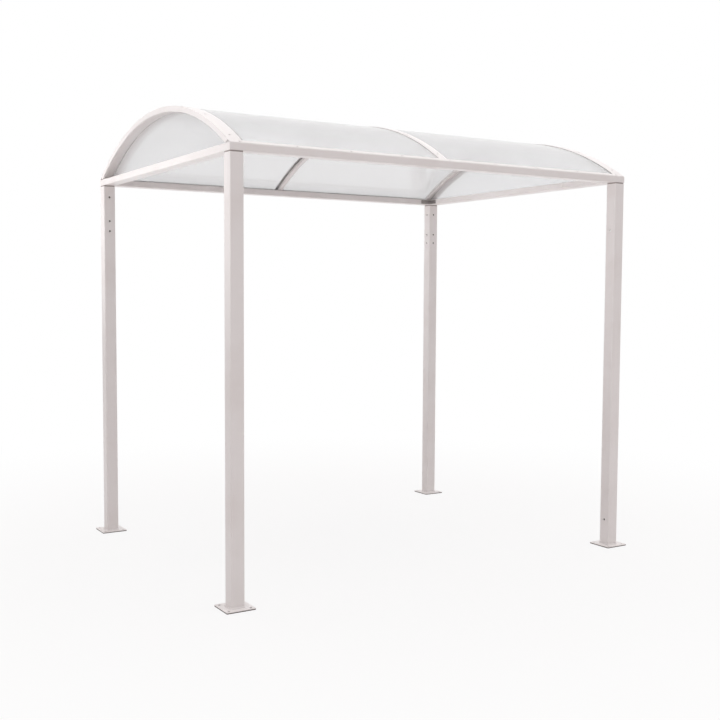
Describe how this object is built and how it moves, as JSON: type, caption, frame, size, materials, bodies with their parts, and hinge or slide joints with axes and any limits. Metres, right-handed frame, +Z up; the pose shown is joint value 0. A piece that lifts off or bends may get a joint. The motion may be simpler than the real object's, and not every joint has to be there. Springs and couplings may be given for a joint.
{
  "type": "bike shelter",
  "caption": "Open bike shelter: square steel posts on bolted base plates carry a mitred roof frame, bent ribs and a translucent barrel-vault roof with closed gables.",
  "frame": {"origin": "on the ground, in the middle between the four posts", "axes": "+X along the eaves to the right seen from the front, +Y from the front to the back, +Z up"},
  "size_m": [2.76, 2.14, 2.631],
  "materials": {
    "paint": "off-white powder coat",
    "post_head": "brown-grey primer",
    "gasket": "matte pale grey",
    "bracket": "dull galvanised",
    "sheet": "opal translucent polycarbonate"
  },
  "bodies": {
    "root": {"base_plate_front_left": "paint", "post_front_left": "paint", "post_head_front_left": "post_head", "corner_bracket_front_left": "paint", "base_plate_front_right": "paint", "post_front_right": "paint", "post_head_front_right": "post_head", "corner_bracket_front_right": "paint", "base_plate_rear_left": "paint", "post_rear_left": "paint", "post_head_rear_left": "post_head", "corner_bracket_rear_left": "paint", "base_plate_rear_right": "paint", "post_rear_right": "paint", "post_head_rear_right": "post_head", "corner_bracket_rear_right": "bracket", "front_beam": "paint", "rear_beam": "paint", "left_tie": "paint", "right_tie": "paint", "left_rib": "paint", "middle_rib": "paint", "right_rib": "paint", "left_gable_clamp": "paint", "right_gable_clamp": "paint", "left_cover_strip": "paint", "middle_cover_strip": "paint", "right_cover_strip": "paint", "front_eaves_strip": "paint", "rear_eaves_strip": "paint", "left_gasket": "gasket", "middle_gasket": "gasket", "right_gasket": "gasket", "left_roof_sheet": "sheet", "right_roof_sheet": "sheet", "left_gable_panel": "sheet", "right_gable_panel": "sheet"}
  },
  "joints": []
}
